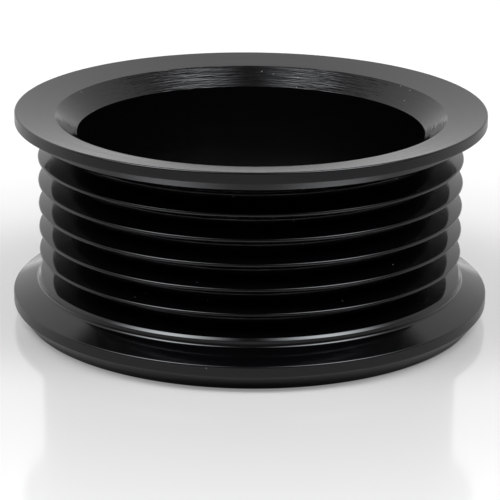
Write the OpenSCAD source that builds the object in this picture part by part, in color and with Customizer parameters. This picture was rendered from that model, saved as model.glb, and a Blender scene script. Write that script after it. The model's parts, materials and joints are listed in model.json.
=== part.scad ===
// Ribbed belt pulley: one turned ring, with V grooves for a ribbed belt between two flanges.
// It stands on its wide flange. The origin is at the centre of the bottom face, with Z along the axis.
// All lengths are in millimetres and all angles in degrees.

/* [Bore] */
// Diameter of the bore that the ring is pressed on its hub by
bore_d = 51; // [30:0.5:90]
// Wall left between the bore and the bottoms of the grooves
drum_wall = 1.96; // [1.5:0.01:8]
// Radial width of the countersink at the upper end of the bore
countersink_w = 3.15; // [0.5:0.05:5]
// Height of the countersink along the axis
countersink_h = 2.57; // [0.5:0.01:5]
// Width of the chamfer at the lower end of the bore
lead_in = 0.5; // [0.1:0.05:1.5]

/* [Grooves] */
// Number of V grooves
groove_count = 6; // [1:1:12]
// Distance from one groove to the next
groove_pitch = 3.56; // [2.8:0.01:5]
// Angle between the two flanks of a groove
groove_angle = 40; // [34:1:50]
// Radius of the round crest between two grooves
tip_r = 0.27; // [0.1:0.01:0.5]
// Radius at the bottom of each groove
root_r = 0.3; // [0.2:0.05:0.8]

/* [Lower flange] */
// How far the lower flange stands out past the crests
lower_rise = 3.95; // [1.5:0.05:8]
// Height of the lower flange's rim
lower_rim_h = 1.5; // [0.8:0.05:5]
// Height of the bevel under the lower rim
bevel_h = 2.3; // [0.5:0.05:5]
// Radial width of the bevel under the lower rim
bevel_w = 1.8; // [0.5:0.05:4]
// Slope of the lower flange's face, which leads the belt into the grooves
lower_slope = 23.5; // [5:0.5:40]

/* [Shoulders beside the outer grooves] */
// How far the lower shoulder stands out past the crests
lower_shoulder_rise = 0.2; // [0:0.05:1]
// Height of the lower shoulder's wall, measured to its sharp corners
lower_shoulder_h = 0.93; // [0.75:0.01:3]
// Fillet where the lower shoulder meets its flange
shoulder_fillet_r = 0.6; // [0.1:0.05:0.9]
// How far the upper shoulder stands out past the crests
upper_shoulder_rise = 0.75; // [0:0.05:1.5]
// Height of the upper shoulder's wall, measured to its sharp corners
upper_shoulder_h = 1.25; // [0.75:0.05:3]
// How far the upper shoulder's wall leans out on its way up to its flange
upper_shoulder_lean = 0.5; // [0:0.05:1]
// Radial width of the chamfer between each shoulder and its groove
shoulder_cut_w = 0.35; // [0.1:0.05:1]
// How far that chamfer reaches along the shoulder's wall
shoulder_cut_h = 0.2; // [0.05:0.05:0.4]

/* [Upper flange] */
// How far the upper flange stands out past the crests
upper_rise = 3.25; // [1.5:0.05:8]
// Slope of the upper flange's underside
upper_slope = 14; // [0:0.5:40]
// Height of the upper flange's rim
upper_rim_h = 1.62; // [0.8:0.01:5]
// How far the upper face falls from its rim to the countersink
dish_h = 0.9; // [0:0.05:2]

/* [Edges] */
// Radius on the upper edges of the two rims
edge_r = 0.25; // [0.05:0.05:0.8]
// Radius on the other edges of the flanges and the shoulders
fine_edge_r = 0.1; // [0.05:0.05:0.3]

/* [Hidden] */

// Largest turn between two points of an arc, and the number of sides of the mesh that is previewed
arc_step = 14;
round_sides = 180;

// Groove form: flanks that would meet in sharp points, with corner_cut of each radius lost by rounding them
flank_slope = tan(groove_angle / 2);
sharp_depth = groove_pitch / 2 / flank_slope;
corner_cut = 1 / sin(groove_angle / 2) - 1;
groove_depth = sharp_depth - (tip_r + root_r) * corner_cut;

// Radii, from the bore outwards
bore_r = bore_d / 2;
countersink_r = bore_r + countersink_w;
crest_r = bore_r + drum_wall + groove_depth;
v_tip_r = crest_r + tip_r * corner_cut;
v_point_r = v_tip_r - sharp_depth;
lower_shoulder_r = crest_r + lower_shoulder_rise;
upper_shoulder_r = crest_r + upper_shoulder_rise;
underside_r = upper_shoulder_r + upper_shoulder_lean;
lower_flange_r = crest_r + lower_rise;
upper_flange_r = crest_r + upper_rise;

// Heights, from the bottom face upwards
lower_rim_top = bevel_h + lower_rim_h;
drum_bottom = lower_rim_top + (lower_flange_r - lower_shoulder_r) * tan(lower_slope);
lower_shoulder_top = drum_bottom + lower_shoulder_h;
first_groove = lower_shoulder_top + (lower_shoulder_r - v_point_r) * flank_slope;
last_groove = first_groove + (groove_count - 1) * groove_pitch;
drum_top = last_groove + (upper_shoulder_r - v_point_r) * flank_slope;
underside_z = drum_top + upper_shoulder_h;
upper_rim_bottom = underside_z + (upper_flange_r - underside_r) * tan(upper_slope);
overall_h = upper_rim_bottom + upper_rim_h;
dish_bottom = overall_h - dish_h;
bore_top = dish_bottom - countersink_h;

// The crest below the groove at height z and that groove's bottom, each as [radius, height, rounding]
function crest_and_groove(z) = [
    [v_tip_r, z - groove_pitch / 2, tip_r],
    [v_point_r, z, root_r]
];

// The half section as sharp corners with their rounding, from the bore round the outside and back.
section_corners = [
    [bore_r, lead_in, 0],
    [bore_r + lead_in, 0, 0],
    [lower_flange_r - bevel_w, 0, fine_edge_r],
    [lower_flange_r, bevel_h, fine_edge_r],
    [lower_flange_r, lower_rim_top, edge_r],
    [lower_shoulder_r, drum_bottom, shoulder_fillet_r],
    [lower_shoulder_r, lower_shoulder_top - shoulder_cut_h, fine_edge_r],
    [lower_shoulder_r - shoulder_cut_w, lower_shoulder_top + shoulder_cut_w * flank_slope, fine_edge_r],
    [v_point_r, first_groove, root_r],
    for (k = [1 : 1 : groove_count - 1]) each crest_and_groove(first_groove + k * groove_pitch),
    [upper_shoulder_r - shoulder_cut_w, drum_top - shoulder_cut_w * flank_slope, fine_edge_r],
    [upper_shoulder_r, drum_top + shoulder_cut_h, fine_edge_r],
    [underside_r, underside_z, fine_edge_r],
    [upper_flange_r, upper_rim_bottom, fine_edge_r],
    [upper_flange_r, overall_h, edge_r],
    [countersink_r, dish_bottom, fine_edge_r],
    [bore_r, bore_top, 0]
];

function point(corner) = [corner[0], corner[1]];
function unit(v) = v / norm(v);

// The turn from direction u to direction v, between -180 and 180
function turn(u, v) = atan2(u[0] * v[1] - u[1] * v[0], u * v);

// Points that round corner b of the path a, b, c: an arc that touches both sides, or b itself
function rounded(a, b, c) =
    b[2] == 0 ? [point(b)] :
    let (
        to_a = unit(point(a) - point(b)),
        to_c = unit(point(c) - point(b)),
        half = abs(turn(to_a, to_c)) / 2,
        centre = point(b) + unit(to_a + to_c) * b[2] / sin(half),
        from = unit(point(b) + to_a * b[2] / tan(half) - centre),
        to = unit(point(b) + to_c * b[2] / tan(half) - centre),
        start = atan2(from[1], from[0]),
        sweep = turn(from, to),
        steps = max(2, ceil(abs(sweep) / arc_step))
    )
    [for (i = [0 : steps]) centre + b[2] * [cos(start + sweep * i / steps), sin(start + sweep * i / steps)]];

// The half section with all its roundings
module half_section() {
    count = len(section_corners);
    polygon([
        for (i = [0 : count - 1])
            each rounded(
                section_corners[(i + count - 1) % count],
                section_corners[i],
                section_corners[(i + 1) % count]
            )
    ]);
}

// The whole pulley, turned from one blank
module pulley() {
    color("#1a1a1c")
        rotate_extrude($fn = round_sides)
            half_section();
}

pulley();
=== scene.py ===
# %% [markdown]
# # A ribbed belt pulley, dressed for its portrait
# The part is one ring, turned from a single blank and anodised black. It has V grooves for a ribbed belt,
# a flange at each end and a wide bore. The CAD file already holds its true size, so this lesson starts by
# loading that frame and keeping its box.

# %% Load the frame
import json
import math

import bmesh
import bpy
from mathutils import Matrix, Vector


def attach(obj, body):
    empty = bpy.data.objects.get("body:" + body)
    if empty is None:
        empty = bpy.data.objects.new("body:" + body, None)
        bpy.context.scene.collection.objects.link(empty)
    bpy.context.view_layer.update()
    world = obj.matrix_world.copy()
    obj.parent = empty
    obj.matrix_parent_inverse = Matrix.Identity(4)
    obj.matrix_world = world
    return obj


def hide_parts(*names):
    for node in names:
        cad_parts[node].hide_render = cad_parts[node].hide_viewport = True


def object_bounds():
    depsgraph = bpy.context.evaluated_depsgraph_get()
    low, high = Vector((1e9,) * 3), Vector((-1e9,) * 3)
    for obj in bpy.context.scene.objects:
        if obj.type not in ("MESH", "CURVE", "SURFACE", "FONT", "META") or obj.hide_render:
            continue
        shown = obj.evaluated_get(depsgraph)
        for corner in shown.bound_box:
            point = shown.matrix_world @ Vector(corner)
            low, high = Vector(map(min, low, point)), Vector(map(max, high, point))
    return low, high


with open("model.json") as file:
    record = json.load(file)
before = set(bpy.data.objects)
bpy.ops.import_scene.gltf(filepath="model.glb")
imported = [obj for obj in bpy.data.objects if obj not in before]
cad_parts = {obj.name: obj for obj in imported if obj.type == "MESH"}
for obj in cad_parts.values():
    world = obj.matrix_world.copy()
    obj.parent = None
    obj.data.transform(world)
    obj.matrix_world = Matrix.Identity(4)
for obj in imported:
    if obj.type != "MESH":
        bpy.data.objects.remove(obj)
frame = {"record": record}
cad_low, cad_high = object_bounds()
MM = 0.001
print("CAD box in mm:", [round(v / MM, 2) for v in (*cad_low, *cad_high)])

# %% [markdown]
# ## Sizes
# A lathe part is known by its half section: radii measured from the axis and heights measured from the base.
# The bore's radius comes from the frame. The rest are the sizes that a turner would read off the drawing, in
# millimetres and degrees, and the derived ones follow from them.

# %% Sizes of the section
bore = next(m for m in frame["record"]["mounts"] if m["name"] == "bore")
bore_r = bore["dims"]["r_mm"]
drum_wall = 1.96
countersink_w, countersink_h = 3.15, 2.57
lead_in = 0.5
groove_count, groove_pitch, groove_angle = 6, 3.56, 40
tip_r, root_r = 0.27, 0.3
lower_shoulder_rise, lower_shoulder_h, shoulder_fillet_r = 0.2, 0.93, 0.6
upper_shoulder_rise, upper_shoulder_h, upper_shoulder_lean = 0.75, 1.25, 0.5
shoulder_cut_w, shoulder_cut_h = 0.35, 0.2
lower_rise, lower_rim_h, lower_slope = 3.95, 1.5, 23.5
bevel_h, bevel_w = 2.3, 1.8
upper_rise, upper_rim_h, upper_slope = 3.25, 1.62, 14
dish_h = 0.9
edge_r, fine_edge_r = 0.25, 0.1
print(f"bore {2 * bore_r:.1f} mm across, {groove_count} grooves at a pitch of {groove_pitch} mm")

# %% [markdown]
# ## Radii and heights that follow
# The flanks of a groove would meet in sharp points. Rounding the crest and the bottom takes a little off both
# ends, so the real depth is the sharp one less two cuts. Each height is then stacked on the one below it.

# %% Derived radii
flank_slope = math.tan(math.radians(groove_angle / 2))
corner_cut = 1 / math.sin(math.radians(groove_angle / 2)) - 1
sharp_depth = groove_pitch / 2 / flank_slope
groove_depth = sharp_depth - (tip_r + root_r) * corner_cut
crest_r = bore_r + drum_wall + groove_depth
v_point_r = crest_r + tip_r * corner_cut - sharp_depth
lower_shoulder_r = crest_r + lower_shoulder_rise
upper_shoulder_r = crest_r + upper_shoulder_rise
underside_r = upper_shoulder_r + upper_shoulder_lean
lower_flange_r = crest_r + lower_rise
upper_flange_r = crest_r + upper_rise
countersink_r = bore_r + countersink_w
print(f"crests {2 * crest_r:.2f} mm across, flanges {2 * lower_flange_r:.2f} and {2 * upper_flange_r:.2f} mm")

# %% Derived heights
lower_face_h = (lower_flange_r - lower_shoulder_r) * math.tan(math.radians(lower_slope))
underside_h = (upper_flange_r - underside_r) * math.tan(math.radians(upper_slope))
lower_rim_top = bevel_h + lower_rim_h
drum_bottom = lower_rim_top + lower_face_h
lower_shoulder_top = drum_bottom + lower_shoulder_h
first_groove = lower_shoulder_top + (lower_shoulder_r - v_point_r) * flank_slope
more_grooves_h = (groove_count - 1) * groove_pitch
drum_top = first_groove + more_grooves_h + (upper_shoulder_r - v_point_r) * flank_slope
underside_z = drum_top + upper_shoulder_h
upper_rim_bottom = underside_z + underside_h
overall_h = upper_rim_bottom + upper_rim_h
print(f"upper rim's corner at {overall_h:.2f} mm before it is rounded, box {cad_high.z / MM:.2f} mm high")

# %% [markdown]
# ## The half section
# The section could be drawn as a long list of points, but then every arc would be numbers that nobody can
# read. Here it is only the sharp corners, each with the radius that rounds it. Two plain shoulders stand
# beside the outer grooves: the lower one is upright with a fillet at its foot, and the upper one leans out
# towards its flange. The step from one groove to the next is written once. The Geometry Nodes tree repeats
# it and lifts everything above it, so a pulley with four or eight ribs is one number.

# %% Corners of the section
LOWER, GROOVE, UPPER = 0, 1, 2
cut_rise = shoulder_cut_w * flank_slope

# The upper corners start at the height they would have on a pulley with a single groove.
single_drum_top = drum_top - more_grooves_h
single_underside = underside_z - more_grooves_h
single_h = overall_h - more_grooves_h

# Each corner is its zone, its radius, its height and its rounding.
corners = [
    (LOWER, bore_r, lead_in, 0),
    (LOWER, bore_r + lead_in, 0, 0),
    (LOWER, lower_flange_r - bevel_w, 0, fine_edge_r),
    (LOWER, lower_flange_r, bevel_h, fine_edge_r),
    (LOWER, lower_flange_r, lower_rim_top, edge_r),
    (LOWER, lower_shoulder_r, drum_bottom, shoulder_fillet_r),
    (LOWER, lower_shoulder_r, lower_shoulder_top - shoulder_cut_h, fine_edge_r),
    (LOWER, lower_shoulder_r - shoulder_cut_w, lower_shoulder_top + cut_rise, fine_edge_r),
    (LOWER, v_point_r, first_groove, root_r),
    (GROOVE, v_point_r + sharp_depth, first_groove + groove_pitch / 2, tip_r),
    (GROOVE, v_point_r, first_groove + groove_pitch, root_r),
    (UPPER, upper_shoulder_r - shoulder_cut_w, single_drum_top - cut_rise, fine_edge_r),
    (UPPER, upper_shoulder_r, single_drum_top + shoulder_cut_h, fine_edge_r),
    (UPPER, underside_r, single_underside, fine_edge_r),
    (UPPER, upper_flange_r, single_h - upper_rim_h, fine_edge_r),
    (UPPER, upper_flange_r, single_h, edge_r),
    (UPPER, countersink_r, single_h - dish_h, fine_edge_r),
    (UPPER, bore_r, single_h - dish_h - countersink_h, 0),
]
print(len(corners), "corners make the whole section")


# %% Points that carry the corners
def section_mesh():
    """Loose points in the XY plane: X is the distance out from the bore wall, and Y is minus the height."""
    mesh = bpy.data.meshes.new("section")
    mesh.from_pydata([((r - bore_r) * MM, -z * MM, 0) for _, r, z, _ in corners], [], [])
    zones = [zone for zone, _, _, _ in corners]
    roundings = [rounding * MM for _, _, _, rounding in corners]
    mesh.attributes.new("zone", "INT", "POINT").data.foreach_set("value", zones)
    mesh.attributes.new("rounding", "FLOAT", "POINT").data.foreach_set("value", roundings)
    return mesh


section = section_mesh()
print(len(section.vertices), "points carry a zone and a rounding")

# %% [markdown]
# ## Helpers for node trees
# Trees built in a script are easier to read when one call adds a node, sets its options and fills its inputs.
# An input that is given a socket is linked to it, and any other value is written into it. The same helpers
# serve Geometry Nodes, materials, the room and the lamps.

# %% Helpers for all trees
def add(tree, kind, inputs=None, **options):
    """Adds a node with its options set and its inputs filled, and returns the node."""
    made = tree.nodes.new(kind)
    for name, value in options.items():
        setattr(made, name, value)
    for key, value in (inputs or {}).items():
        if isinstance(value, bpy.types.NodeSocket):
            tree.links.new(value, made.inputs[key])
        else:
            made.inputs[key].default_value = value
    return made


def math_node(tree, operation, a, b=0.0):
    """The output of one Math node."""
    return add(tree, "ShaderNodeMath", {0: a, 1: b}, operation=operation).outputs[0]


def product(tree, *factors):
    """All the factors multiplied."""
    total = factors[0]
    for factor in factors[1:]:
        total = math_node(tree, "MULTIPLY", total, factor)
    return total


def ramp(tree, value, start, stop, eased=True):
    """A Map Range node from one (input, output) pair to another, eased at both ends or straight."""
    return add(tree, "ShaderNodeMapRange", {
        "Value": value, "From Min": start[0], "From Max": stop[0], "To Min": start[1], "To Max": stop[1]},
        interpolation_type="SMOOTHSTEP" if eased else "LINEAR").outputs[0]


def flat_part(tree, vector):
    """A vector without its height, and that height by itself."""
    at = add(tree, "ShaderNodeSeparateXYZ", {0: vector}).outputs
    flat = add(tree, "ShaderNodeCombineXYZ", {"X": at["X"], "Y": at["Y"]}).outputs[0]
    return flat, at["Z"]


def length(tree, vector):
    """How long a vector is."""
    return add(tree, "ShaderNodeVectorMath", {0: vector}, operation="LENGTH").outputs["Value"]


# %% [markdown]
# ## A tree that works like a lathe
# The pulley is made by one Geometry Nodes tree, built up in the next three steps. Its named inputs are the
# bore, the grooves and how finely the round shapes are divided. The two heights of the belt track and the
# radius of the countersink only say where each finish goes.

# %% The tree and its inputs
RING_INPUTS = {
    "Section": "Geometry", "Bore Radius": "Float", "Countersink Radius": "Float",
    "Groove Pitch": "Float", "Groove Count": "Int", "Sides": "Int", "Arc Points": "Int",
    "Track Bottom": "Float", "Track Top": "Float",
    "Face Finish": "Material", "Groove Finish": "Material", "Countersink Finish": "Material",
}
ring_tree = bpy.data.node_groups.new("turned_ring", "GeometryNodeTree")
for name, kind in RING_INPUTS.items():
    ring_tree.interface.new_socket(name, in_out="INPUT", socket_type="NodeSocket" + kind)
ring_tree.interface.new_socket("Ring", in_out="OUTPUT", socket_type="NodeSocketGeometry")
ring_given = ring_tree.nodes.new("NodeGroupInput").outputs
print("inputs:", [socket.name for socket in ring_given if socket.name])

# %% [markdown]
# ## The outline with all its grooves
# Above the first groove's bottom, the section holds one crest and one more bottom. These two corners are
# copied up the drum, once for each groove after the first, and the corners above them move up to make room.
# Points to Curves then strings all corners in order. An array modifier could repeat the groove too, but not
# in the middle of an outline.

# %% Outline of the section
def stored(tree, name, kind):
    """An attribute that each point carries."""
    return add(tree, "GeometryNodeInputNamedAttribute", {"Name": name}, data_type=kind).outputs["Attribute"]


def in_zone(tree, zone):
    """True for the points of one zone of the section."""
    # This node's inputs 2 and 3 are the whole numbers that it compares.
    return add(tree, "FunctionNodeCompare", {2: stored(tree, "zone", "INT"), 3: zone},
               data_type="INT", operation="EQUAL").outputs[0]


def numbered(tree, points, number):
    """Points that carry their place along the section."""
    return add(tree, "GeometryNodeStoreNamedAttribute",
               {"Geometry": points, "Name": "order", "Value": number},
               data_type="FLOAT", domain="POINT").outputs[0]


def lifted(tree, points, steps, pitch, chosen=True):
    """The chosen points, moved up the drum by a number of groove pitches."""
    offset = add(tree, "ShaderNodeCombineXYZ", {"Y": product(tree, steps, pitch, -1.0)}).outputs[0]
    return add(tree, "GeometryNodeSetPosition",
               {"Geometry": points, "Selection": chosen, "Offset": offset}).outputs[0]


def grooved_outline(tree, given):
    """The section's corners, with the groove repeated, strung into one closed curve."""
    more_grooves = math_node(tree, "SUBTRACT", given["Groove Count"], 1.0)
    points = add(tree, "GeometryNodeMeshToPoints", {"Mesh": given["Section"]}).outputs[0]
    points = numbered(tree, points, add(tree, "GeometryNodeInputIndex").outputs[0])
    parted = add(tree, "GeometryNodeSeparateGeometry",
                 {"Geometry": points, "Selection": in_zone(tree, GROOVE)}, domain="POINT").outputs
    copies = add(tree, "GeometryNodeDuplicateElements",
                 {"Geometry": parted["Selection"], "Amount": more_grooves}, domain="POINT").outputs
    grooves = lifted(tree, copies["Geometry"], copies["Duplicate Index"], given["Groove Pitch"])

    # Each copy goes just after the one below it, in steps so small that all come before the upper corners.
    corner_step, copy_step = 0.01, 0.1
    first_place = float([zone for zone, _, _, _ in corners].index(GROOVE))
    within = product(tree, stored(tree, "order", "FLOAT"), corner_step)
    along = product(tree, copies["Duplicate Index"], copy_step)
    place = math_node(tree, "ADD", math_node(tree, "ADD", within, along), first_place)
    grooves = numbered(tree, grooves, place)

    ends = lifted(tree, parted["Inverted"], more_grooves, given["Groove Pitch"], in_zone(tree, UPPER))
    joined = add(tree, "GeometryNodeJoinGeometry")
    for part in (grooves, ends):
        tree.links.new(part, joined.inputs[0])
    outline = add(tree, "GeometryNodePointsToCurves",
                  {"Points": joined.outputs[0], "Weight": stored(tree, "order", "FLOAT")}).outputs[0]
    return add(tree, "GeometryNodeSetSplineCyclic", {0: outline, "Cyclic": True}).outputs[0]


outline = grooved_outline(ring_tree, ring_given)
print("nodes for the outline:", len(ring_tree.nodes))

# %% [markdown]
# ## Turning the ring
# A lathe sweeps one section round an axis. In Geometry Nodes that is Curve to Mesh with a circle as the path,
# after Fillet Curve has rounded each corner by its own radius. A Screw modifier would do the same, but then
# the rounding would have to be drawn by hand. Edges that bend sharply stay crisp, and the rest is smooth.

# %% Sweep of the section
def swept_ring(tree, given, outline):
    """The outline with its corners rounded, swept round the axis."""
    crisp_angle = math.radians(30)
    radius = stored(tree, "rounding", "FLOAT")
    rounded = add(tree, "GeometryNodeFilletCurve",
                  {"Curve": outline, "Radius": radius, "Count": given["Arc Points"]}, mode="POLY").outputs[0]
    path = add(tree, "GeometryNodeCurvePrimitiveCircle",
               {"Resolution": given["Sides"], "Radius": given["Bore Radius"]}, mode="RADIUS").outputs[0]
    ring = add(tree, "GeometryNodeCurveToMesh", {"Curve": path, "Profile Curve": rounded}).outputs[0]

    # The sweep leaves the faces looking into the metal, so they are turned round.
    ring = add(tree, "GeometryNodeFlipFaces", {"Mesh": ring}).outputs[0]
    ring = add(tree, "GeometryNodeSetShadeSmooth", {0: ring, "Shade Smooth": True}).outputs[0]
    bend = add(tree, "GeometryNodeInputMeshEdgeAngle").outputs["Unsigned Angle"]
    crisp = math_node(tree, "GREATER_THAN", bend, crisp_angle)
    return add(tree, "GeometryNodeSetShadeSmooth", {0: ring, "Selection": crisp, "Shade Smooth": False},
               domain="EDGE").outputs[0]


ring = swept_ring(ring_tree, ring_given, outline)
print("nodes with the sweep:", len(ring_tree.nodes))

# %% [markdown]
# ## Where each finish goes
# The blank is one metal, but its surface differs from place to place: plain turned faces, a smoother belt
# track, and a countersink with coarser rings. Faces are picked by where they lie, so the zones follow the
# sizes. The belt track reaches from the lower flange's sloping face to the upper flange's underside.

# %% Finishes on the ring
def dressed_ring(tree, given, ring):
    """The ring with its three finishes, each on its own zone."""
    edge_margin = 0.3 * MM
    whole = add(tree, "GeometryNodeRealizeInstances", {0: ring}).outputs[0]
    flat, height = flat_part(tree, add(tree, "GeometryNodeInputPosition").outputs[0])
    radius = length(tree, flat)
    above = math_node(tree, "GREATER_THAN", height, given["Track Bottom"])
    below = math_node(tree, "LESS_THAN", height, given["Track Top"])
    outside = math_node(tree, "GREATER_THAN", radius, given["Countersink Radius"])
    cone_start = math_node(tree, "ADD", given["Bore Radius"], edge_margin)
    cone_end = math_node(tree, "SUBTRACT", given["Countersink Radius"], edge_margin)
    past_start = math_node(tree, "GREATER_THAN", radius, cone_start)
    before_end = math_node(tree, "LESS_THAN", radius, cone_end)

    plain = add(tree, "GeometryNodeSetMaterial",
                {"Geometry": whole, "Material": given["Face Finish"]}).outputs[0]
    grooved = add(tree, "GeometryNodeSetMaterial",
                  {"Geometry": plain, "Selection": product(tree, outside, above, below),
                   "Material": given["Groove Finish"]}).outputs[0]
    return add(tree, "GeometryNodeSetMaterial",
               {"Geometry": grooved, "Selection": product(tree, above, past_start, before_end),
                "Material": given["Countersink Finish"]}).outputs[0]


add(ring_tree, "NodeGroupOutput", {0: dressed_ring(ring_tree, ring_given, ring)})
print("nodes in the whole tree:", len(ring_tree.nodes))

# %% [markdown]
# ## Shared effects for the finish
# Everything on a lathe part runs round the axis, so its fine marks do too. The first group turns Object
# coordinates into radius, height and direction, and reads noise that is stretched far along the direction.
# The second group scatters the few bright specks of lint that sit on any black part. An image could hold
# both, but noise has no seam and keeps its sharpness close up.

# %% Group: marks of the turning tool
def lathe_marks_group():
    """Height and a broad streak, both drawn out round the axis."""
    broad_share = 0.15
    tree = bpy.data.node_groups.new("lathe_marks", "ShaderNodeTree")
    for name, value in (("Rings per Metre", 6000.0), ("Wander", 1.5)):
        socket = tree.interface.new_socket(name, in_out="INPUT", socket_type="NodeSocketFloat")
        socket.default_value = value
    for name in ("Height", "Streak"):
        tree.interface.new_socket(name, in_out="OUTPUT", socket_type="NodeSocketFloat")
    given = tree.nodes.new("NodeGroupInput").outputs
    flat, height = flat_part(tree, add(tree, "ShaderNodeTexCoord").outputs["Object"])
    radius = length(tree, flat)
    facing = add(tree, "ShaderNodeVectorMath", {0: flat}, operation="NORMALIZE").outputs[0]
    around = add(tree, "ShaderNodeSeparateXYZ", {0: facing}).outputs

    def rings(rate, detail):
        """Noise in four dimensions: radius, height and the two parts of the direction."""
        place = add(tree, "ShaderNodeCombineXYZ", {
            "X": product(tree, radius, rate), "Y": product(tree, height, rate),
            "Z": product(tree, around["X"], given["Wander"])}).outputs[0]
        return add(tree, "ShaderNodeTexNoise", {
            "Vector": place, "W": product(tree, around["Y"], given["Wander"]), "Scale": 1.0,
            "Detail": detail, "Roughness": 0.6}, noise_dimensions="4D").outputs[0]

    fine = rings(given["Rings per Metre"], 2.0)
    broad = rings(product(tree, given["Rings per Metre"], broad_share), 1.0)
    add(tree, "NodeGroupOutput", {"Height": fine, "Streak": broad})
    return tree


lathe_marks = lathe_marks_group()
print("group", lathe_marks.name)


# %% Group: specks of lint
def lint_group():
    """A mask of a few tiny specks: cells of a Voronoi pattern, kept where the cell's random colour is low."""
    ripple_scale, ripple_size = 2500.0, 0.2 * MM
    tree = bpy.data.node_groups.new("lint", "ShaderNodeTree")
    for name, value in (("Cells per Metre", 700.0), ("Speck Size", 0.08), ("Share", 0.15)):
        socket = tree.interface.new_socket(name, in_out="INPUT", socket_type="NodeSocketFloat")
        socket.default_value = value
    tree.interface.new_socket("Mask", in_out="OUTPUT", socket_type="NodeSocketFloat")
    given = tree.nodes.new("NodeGroupInput").outputs
    where = add(tree, "ShaderNodeTexCoord").outputs["Object"]
    ripple = add(tree, "ShaderNodeTexNoise", {"Vector": where, "Scale": ripple_scale}).outputs["Color"]
    bent = add(tree, "ShaderNodeVectorMath",
               {0: ripple, 1: (ripple_size, ripple_size, ripple_size), 2: where},
               operation="MULTIPLY_ADD").outputs[0]
    cells = add(tree, "ShaderNodeTexVoronoi", {"Vector": bent, "Scale": given["Cells per Metre"]}).outputs
    near = math_node(tree, "LESS_THAN", cells["Distance"], given["Speck Size"])
    chance = add(tree, "ShaderNodeSeparateColor", {0: cells["Color"]}).outputs[0]
    kept = math_node(tree, "LESS_THAN", chance, given["Share"])
    add(tree, "NodeGroupOutput", {"Mask": product(tree, near, kept)})
    return tree


lint = lint_group()
print("group", lint.name)

# %% [markdown]
# ## Black anodised aluminium
# Anodising grows a thin clear glassy layer that is dyed black. So the look is not that of bare metal: it is a
# black body under a smooth clear skin, dark when seen straight on and pale where it is seen at a slant. A
# Principled shader with a black colour and no Metallic does exactly that by its Fresnel term. The streaks
# vary the roughness a little, and the rings of the tool go into the bump.

# %% The finish
def anodised(name, rough, rough_spread, mark_depth, rings_per_metre, wander, speck_share):
    """A black anodised material with marks of the tool, whose depth is in millimetres, and a little lint."""
    dye = (0.0015, 0.0015, 0.0017, 1)
    dust = (0.12, 0.12, 0.12, 1)
    streak_low, streak_high = 0.3, 0.7
    made = bpy.data.materials.new(name)
    made.use_nodes = True
    tree = made.node_tree
    tree.nodes.clear()
    marks = add(tree, "ShaderNodeGroup", node_tree=lathe_marks)
    marks.inputs["Rings per Metre"].default_value = rings_per_metre
    marks.inputs["Wander"].default_value = wander
    specks = add(tree, "ShaderNodeGroup", node_tree=lint)
    specks.inputs["Share"].default_value = speck_share
    roughness = ramp(tree, marks.outputs["Streak"], (streak_low, rough - rough_spread),
                     (streak_high, rough + rough_spread), eased=False)

    # The Mix node has a pair of inputs for each kind of value: 6 and 7 are the two colours.
    colour = add(tree, "ShaderNodeMix", {0: specks.outputs["Mask"], 6: dye, 7: dust},
                 data_type="RGBA").outputs[2]
    bump = add(tree, "ShaderNodeBump", {
        "Strength": 1.0, "Distance": mark_depth * MM, "Height": marks.outputs["Height"]}).outputs[0]
    shader = add(tree, "ShaderNodeBsdfPrincipled", {
        "Base Color": colour, "Roughness": roughness, "Normal": bump, "IOR": 1.5})
    add(tree, "ShaderNodeOutputMaterial", {0: shader.outputs[0]})
    return made


# %% [markdown]
# ## One black, three surfaces
# The flat faces are a satin whose marks are too fine to see. The belt track is smoother, as a form tool
# would leave it, so the lamps show in it as clear lines. The rings in the countersink are deep enough to
# break a lamp's reflection into streaks, and more specks show there.

# %% The three finishes
face_finish = anodised("black_turned_face", rough=0.19, rough_spread=0.02, mark_depth=0.0006,
                       rings_per_metre=5000.0, wander=1.5, speck_share=0.04)
groove_finish = anodised("black_groove", rough=0.095, rough_spread=0.02, mark_depth=0.0003,
                         rings_per_metre=7000.0, wander=1.5, speck_share=0.04)
cone_finish = anodised("black_countersink", rough=0.1, rough_spread=0.03, mark_depth=0.055,
                       rings_per_metre=3200.0, wander=6.0, speck_share=0.5)
print("materials:", face_finish.name, groove_finish.name, cone_finish.name)

# %% [markdown]
# ## Making the pulley
# The tree runs as a modifier on the loose points. Its inputs are set by their identifiers before it is first
# evaluated, and the result is taken out as a plain mesh. A Weighted Normal modifier keeps the large faces
# flat beside their small roundings, so that reflections stay straight.

# %% Make the ring
def turn_pulley():
    """The finished pulley as a plain mesh."""
    maker = bpy.data.objects.new("pulley_maker", section)
    bpy.context.scene.collection.objects.link(maker)
    lathe = maker.modifiers.new("lathe", "NODES")
    lathe.node_group = ring_tree
    values = {
        "Bore Radius": bore_r * MM, "Countersink Radius": countersink_r * MM,
        "Groove Pitch": groove_pitch * MM, "Groove Count": groove_count, "Sides": 320, "Arc Points": 6,
        "Track Bottom": lower_rim_top * MM, "Track Top": upper_rim_bottom * MM,
        "Face Finish": face_finish, "Groove Finish": groove_finish, "Countersink Finish": cone_finish,
    }
    for item in ring_tree.interface.items_tree:
        if item.item_type == "SOCKET" and item.in_out == "INPUT" and item.name in values:
            lathe[item.identifier] = values[item.name]
    even = maker.modifiers.new("flats stay flat", "WEIGHTED_NORMAL")
    even.keep_sharp = True
    graph = bpy.context.evaluated_depsgraph_get()
    mesh = bpy.data.meshes.new_from_object(maker.evaluated_get(graph), depsgraph=graph)
    mesh.name = "turned_pulley"
    bpy.data.objects.remove(maker)
    piece = bpy.data.objects.new("turned_pulley", mesh)
    bpy.context.scene.collection.objects.link(piece)
    return piece


pulley = turn_pulley()
print("made", pulley.name, "with", len(pulley.data.materials), "finishes")

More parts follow.
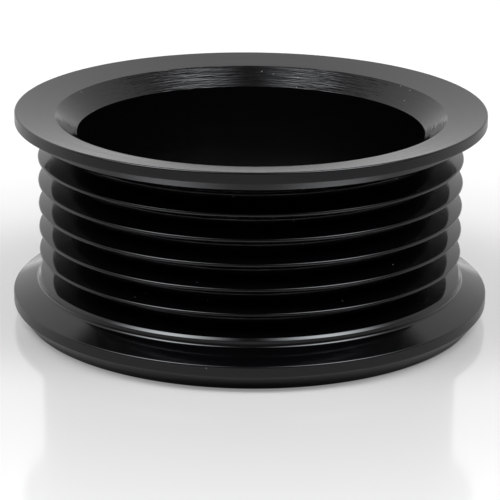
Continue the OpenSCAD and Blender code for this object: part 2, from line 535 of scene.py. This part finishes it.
# %% Measure the ring
check = bmesh.new()
check.from_mesh(pulley.data)
print("triangles", sum(len(face.verts) - 2 for face in check.faces))
print("volume in mm3", round(check.calc_volume(signed=True) / MM**3))
print("open edges", sum(not edge.is_manifold for edge in check.edges))
check.free()

# %% Put it in the frame
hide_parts("pulley")
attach(pulley, "root")
print(pulley.name, "stands for the CAD node pulley")

# %% [markdown]
# ## Floor
# The pulley stands on a pale glossy board that runs out to white. The board itself is a light grey, because
# the part mirrors it and a white one would light up the rims. What makes it white is a glow that only the
# camera sees. The glow is weaker near the pulley, so the floor round it is painted darker: painted shade
# that adds to the pulley's real shadow and its faint reflection.

# %% Make the floor
def make_floor():
    """A wide pale plane whose own light tops it up to white for the camera alone."""
    half_width = 3.0
    hair_gap = 0.02 * MM
    board = (0.535, 0.515, 0.5, 1)
    # The glow is dimmed near the axis: painted shade on the floor round the pulley.
    near_glow_painted_shade, far_glow = (0.03, 0.21), (0.12, 0.5)
    low = cad_low.z - hair_gap
    rim = [(x * half_width, y * half_width, low) for x, y in ((-1, -1), (1, -1), (1, 1), (-1, 1))]
    mesh = bpy.data.meshes.new("floor")
    mesh.from_pydata(rim, [], [(0, 1, 2, 3)])
    floor = bpy.data.objects.new("floor", mesh)
    bpy.context.scene.collection.objects.link(floor)
    paint = bpy.data.materials.new("pale_floor")
    paint.use_nodes = True
    tree = paint.node_tree
    tree.nodes.clear()
    pale = add(tree, "ShaderNodeBsdfPrincipled", {"Base Color": board, "Roughness": 0.1, "IOR": 2.1})
    seen = add(tree, "ShaderNodeLightPath").outputs["Is Camera Ray"]
    away = length(tree, add(tree, "ShaderNodeTexCoord").outputs["Object"])
    # Less glow close to the pulley than far out paints shade on the floor round it.
    glow = product(tree, seen, ramp(tree, away, near_glow_painted_shade, far_glow))
    top_up = add(tree, "ShaderNodeEmission", {"Strength": glow})
    both = add(tree, "ShaderNodeAddShader", {0: pale.outputs[0], 1: top_up.outputs[0]})
    add(tree, "ShaderNodeOutputMaterial", {0: both.outputs[0]})
    mesh.materials.append(paint)
    return floor


floor = make_floor()
print("floor at", round(floor.data.vertices[0].co.z / MM, 3), "mm")

# %% [markdown]
# ## Room
# A black glossy thing is drawn almost wholly by what it mirrors, so the room matters as much as the lamps.
# The camera sees plain white. Reflections see a room that is bright behind the pulley and dark in front of
# it, a little brighter on the left, with a glow low on the horizon that draws the front lip. A round patch of
# dark ceiling, high up and a little behind, ends the grey on the lower flange in a soft edge.

# %% Light the room
def light_room():
    """White to the camera, a shaded room to reflections, and a low even fill to everything else."""
    white, fill = 1.0, 0.15
    patch_centre = (0.0, 0.45, 0.893)
    world = bpy.data.worlds.new("white_room")
    bpy.context.scene.world = world
    world.use_nodes = True
    tree = world.node_tree
    tree.nodes.clear()
    path = add(tree, "ShaderNodeLightPath").outputs
    direction = add(tree, "ShaderNodeTexCoord").outputs["Generated"]
    towards = add(tree, "ShaderNodeSeparateXYZ", {0: direction}).outputs
    back_wall = ramp(tree, towards["Y"], (-0.3, 0.12), (0.45, 0.73))
    low_glow = ramp(tree, towards["Z"], (0.0, 2.0), (0.1, 1.0))
    left_glow = ramp(tree, towards["X"], (-0.8, 1.15), (0.8, 0.88), eased=False)
    nearness = add(tree, "ShaderNodeVectorMath", {0: direction, 1: patch_centre},
                   operation="DOT_PRODUCT").outputs["Value"]
    dark_patch = ramp(tree, nearness, (0.874, 1.0), (0.91, 0.12))
    mirrored = product(tree, back_wall, low_glow, left_glow, dark_patch)
    sharp_ray = math_node(tree, "MAXIMUM", path["Is Glossy Ray"], path["Is Transmission Ray"])

    # Inputs 2 and 3 of the Mix node are its two plain numbers.
    strength = add(tree, "ShaderNodeMix", {0: sharp_ray, 2: fill, 3: mirrored}, data_type="FLOAT").outputs[0]
    strength = add(tree, "ShaderNodeMix", {0: path["Is Camera Ray"], 2: strength, 3: white},
                   data_type="FLOAT").outputs[0]
    walls = add(tree, "ShaderNodeBackground", {"Color": (1, 1, 1, 1), "Strength": strength})
    add(tree, "ShaderNodeOutputWorld", {0: walls.outputs[0]})
    return world


room = light_room()
print("room:", room.name, "with", len(room.node_tree.nodes), "nodes")

# %% [markdown]
# ## Lamps
# Two wide softboxes hang above, left and right. A real softbox is brightest in the middle of its cloth and
# fades towards the frame. A plain area lamp has a hard edge instead, and the smooth shoulder and crests would
# show that edge as the cut-off end of each highlight. So the lamps get nodes that fade them out.

# %% Make the lamps
def hump(tree, share):
    """1 halfway along the lamp and 0 at both ends: the cube of four times the share times the rest."""
    rest = math_node(tree, "SUBTRACT", 1.0, share)
    return math_node(tree, "POWER", product(tree, 4.0, share, rest), 3.0)


def softbox(name, place, size, power):
    """A wide soft lamp that leans towards the axis, brightest in its middle and fading out to its edges."""
    data = bpy.data.lights.new(name, "AREA")
    data.shape = "RECTANGLE"
    data.size, data.size_y = size
    data.energy = power
    data.color = (0.92, 0.96, 1.0)
    data.use_nodes = True
    tree = data.node_tree
    tree.nodes.clear()
    cloth = add(tree, "ShaderNodeNewGeometry").outputs["Parametric"]
    share = add(tree, "ShaderNodeSeparateXYZ", {0: cloth}).outputs
    fade = product(tree, hump(tree, share["X"]), hump(tree, share["Y"]))
    light = add(tree, "ShaderNodeEmission", {"Strength": fade})
    add(tree, "ShaderNodeOutputLight", {0: light.outputs[0]})
    lamp = bpy.data.objects.new(name, data)
    lamp.location = place
    lamp.rotation_euler = (0, math.atan2(place[0], place[2]), 0)
    lamp.visible_camera = False
    bpy.context.scene.collection.objects.link(lamp)
    return lamp


# Places and sizes in metres, power in watts
lamp_side, lamp_front, lamp_height = 0.33, -0.165, 0.6
lamp_size, lamp_power = (0.77, 0.64), 17.1
for side, name in ((-1, "left"), (1, "right")):
    softbox("softbox_" + name, (side * lamp_side, lamp_front, lamp_height), lamp_size, lamp_power)

# %% [markdown]
# ## Camera
# The part is seen from the front and a little above, from about a third of a metre away and through a long
# lens, so that its round rims stay calm ellipses. Half a degree of roll gives the rims their slight slant.

# %% Make the camera
def make_camera():
    """A long lens in front of the pulley, tilted down to it."""
    image_px, focal_px = 500, 2238
    back, up = 317.3 * MM, 114.07 * MM
    pitch, roll = math.radians(18.34), math.radians(0.48)
    data = bpy.data.cameras.new("camera")
    data.sensor_width = 36
    data.lens = data.sensor_width * focal_px / image_px
    camera = bpy.data.objects.new("camera", data)
    place = Matrix.Translation((0, -back, up))
    tilt = Matrix.Rotation(math.pi / 2 - pitch, 4, "X")
    camera.matrix_world = place @ tilt @ Matrix.Rotation(roll, 4, "Z")
    bpy.context.scene.collection.objects.link(camera)
    bpy.context.scene.camera = camera
    return camera


camera = make_camera()
bpy.context.scene.view_settings.view_transform = "Standard"
print("lens", round(camera.data.lens, 1), "mm")
